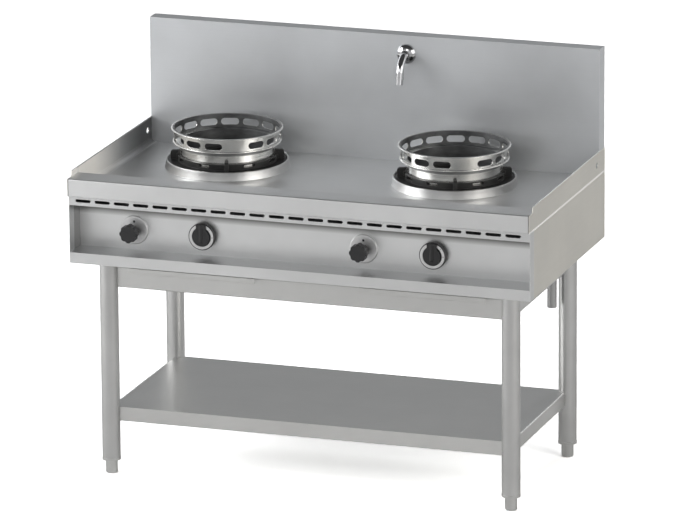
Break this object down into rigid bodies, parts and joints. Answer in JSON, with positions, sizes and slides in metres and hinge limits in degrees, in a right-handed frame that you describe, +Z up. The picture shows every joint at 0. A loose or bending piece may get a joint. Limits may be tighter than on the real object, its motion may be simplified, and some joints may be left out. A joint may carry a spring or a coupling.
{
  "type": "wok burner",
  "caption": "Stainless wok range on a tubular stand: sunken worktop with ring burners, recessed control panel, water tap on a backsplash, drip trays and a lower shelf.",
  "frame": {"origin": "on the floor, midway between the sides, the apron face and the back edge", "axes": "+X to the cook's right, +Y from the apron to the backsplash, +Z up"},
  "size_m": [1.31, 0.7, 1.152],
  "materials": {
    "tube_steel": "satin round tube, faint lengthwise brushing",
    "bush_steel": "turned satin collar",
    "foot_steel": "turned satin foot",
    "stand_sheet": "satin sheet, folded",
    "cabinet_sheet": "satin sheet, brushed along the width",
    "worktop_sheet": "satin sheet with blurred reflections",
    "tray_sheet": "satin sheet, folded",
    "screw_steel": "plain screw heads",
    "tap_chrome": "mirror plating",
    "nut_brass": "machined",
    "trim_polished": "polished steel ring",
    "ring_steel": "rolled and polished band",
    "cast_black": "black, slightly rough",
    "burner_iron": "bare grey iron",
    "bridge_steel": "plain mill finish",
    "gas_brass": "machined",
    "pipe_steel": "plain steel pipe",
    "spindle_steel": "ground rod",
    "knob_black": "satin moulded black",
    "dial_silver": "satin silver"
  },
  "bodies": {
    "range": {"leg_front_left": "tube_steel", "leg_front_right": "tube_steel", "leg_rear_left": "tube_steel", "leg_rear_right": "tube_steel", "leg_bushes": "bush_steel", "stand_rail_front": "stand_sheet", "stand_rail_rear": "stand_sheet", "stand_rail_left": "stand_sheet", "stand_rail_right": "stand_sheet", "undershelf": "stand_sheet", "side_panel_left": "cabinet_sheet", "side_panel_right": "cabinet_sheet", "front_frame": "cabinet_sheet", "control_panel": "cabinet_sheet", "base_panel": "cabinet_sheet", "rear_panel": "cabinet_sheet", "top_pan": "worktop_sheet", "side_guard_left": "worktop_sheet", "side_guard_right": "worktop_sheet", "backsplash": "worktop_sheet", "tray_runners": "tray_sheet", "panel_screws": "screw_steel", "tap_rosette": "tap_chrome", "tap_spout": "tap_chrome", "tap_nozzle": "tap_chrome", "tap_lock_nut": "nut_brass", "trim_ring_left": "trim_polished", "trim_ring_right": "trim_polished", "cast_ring_left": "cast_black", "cast_ring_right": "cast_black", "burner_head_left": "burner_iron", "burner_head_right": "burner_iron", "mixing_tube_left": "burner_iron", "mixing_tube_right": "burner_iron", "burner_bridges": "bridge_steel", "jet_pipes": "gas_brass", "pilot_burners": "gas_brass", "main_valves": "gas_brass", "pilot_valves": "gas_brass", "gas_manifold": "pipe_steel", "gas_inlet_pipe": "pipe_steel", "pilot_bezels": "dial_silver"},
    "foot_front_left": {"foot_front_left": "foot_steel"},
    "foot_front_right": {"foot_front_right": "foot_steel"},
    "foot_rear_left": {"foot_rear_left": "foot_steel"},
    "foot_rear_right": {"foot_rear_right": "foot_steel"},
    "wok_ring_left": {"wok_ring_left": "ring_steel"},
    "drip_tray_left": {"drip_tray_left": "tray_sheet"},
    "main_spindle_left": {"main_spindle_left": "spindle_steel"},
    "main_knob_left": {"main_knob_left": "knob_black", "dial_ring_left": "dial_silver"},
    "pilot_spindle_left": {"pilot_spindle_left": "spindle_steel"},
    "pilot_knob_left": {"pilot_knob_left": "knob_black"},
    "wok_ring_right": {"wok_ring_right": "ring_steel"},
    "drip_tray_right": {"drip_tray_right": "tray_sheet"},
    "main_spindle_right": {"main_spindle_right": "spindle_steel"},
    "main_knob_right": {"main_knob_right": "knob_black", "dial_ring_right": "dial_silver"},
    "pilot_spindle_right": {"pilot_spindle_right": "spindle_steel"},
    "pilot_knob_right": {"pilot_knob_right": "knob_black"}
  },
  "joints": [
    {"name": "foot_front_left_screw", "type": "slide", "parent": "range", "child": "foot_front_left", "axis": [0, 0, -1], "range_m": [0, 0.025]},
    {"name": "foot_front_right_screw", "type": "slide", "parent": "range", "child": "foot_front_right", "axis": [0, 0, -1], "range_m": [0, 0.025]},
    {"name": "foot_rear_left_screw", "type": "slide", "parent": "range", "child": "foot_rear_left", "axis": [0, 0, -1], "range_m": [0, 0.025]},
    {"name": "foot_rear_right_screw", "type": "slide", "parent": "range", "child": "foot_rear_right", "axis": [0, 0, -1], "range_m": [0, 0.025]},
    {"name": "wok_ring_left_lift", "type": "slide", "parent": "range", "child": "wok_ring_left", "axis": [0, 0, 1], "range_m": [0, 0.1]},
    {"name": "drip_tray_left_pull", "type": "slide", "parent": "range", "child": "drip_tray_left", "axis": [0, -1, 0], "range_m": [0, 0.35]},
    {"name": "main_push_left", "type": "slide", "parent": "range", "child": "main_spindle_left", "axis": [0, 1, 0], "range_m": [0, 0.004], "stiffness_N_per_m": 800, "springref_m": -0.002},
    {"name": "main_turn_left", "type": "hinge", "parent": "main_spindle_left", "child": "main_knob_left", "pos_m": [-0.296, -0.27, 0.6975], "axis": [0, -1, 0], "range_deg": [0, 180]},
    {"name": "pilot_push_left", "type": "slide", "parent": "range", "child": "pilot_spindle_left", "axis": [0, 1, 0], "range_m": [0, 0.004], "stiffness_N_per_m": 800, "springref_m": -0.002},
    {"name": "pilot_turn_left", "type": "hinge", "parent": "pilot_spindle_left", "child": "pilot_knob_left", "pos_m": [-0.495, -0.27, 0.6975], "axis": [0, -1, 0], "range_deg": [0, 90]},
    {"name": "wok_ring_right_lift", "type": "slide", "parent": "range", "child": "wok_ring_right", "axis": [0, 0, 1], "range_m": [0, 0.1]},
    {"name": "drip_tray_right_pull", "type": "slide", "parent": "range", "child": "drip_tray_right", "axis": [0, -1, 0], "range_m": [0, 0.35]},
    {"name": "main_push_right", "type": "slide", "parent": "range", "child": "main_spindle_right", "axis": [0, 1, 0], "range_m": [0, 0.004], "stiffness_N_per_m": 800, "springref_m": -0.002},
    {"name": "main_turn_right", "type": "hinge", "parent": "main_spindle_right", "child": "main_knob_right", "pos_m": [0.361, -0.27, 0.6975], "axis": [0, -1, 0], "range_deg": [0, 180]},
    {"name": "pilot_push_right", "type": "slide", "parent": "range", "child": "pilot_spindle_right", "axis": [0, 1, 0], "range_m": [0, 0.004], "stiffness_N_per_m": 800, "springref_m": -0.002},
    {"name": "pilot_turn_right", "type": "hinge", "parent": "pilot_spindle_right", "child": "pilot_knob_right", "pos_m": [0.162, -0.27, 0.6975], "axis": [0, -1, 0], "range_deg": [0, 90]}
  ]
}
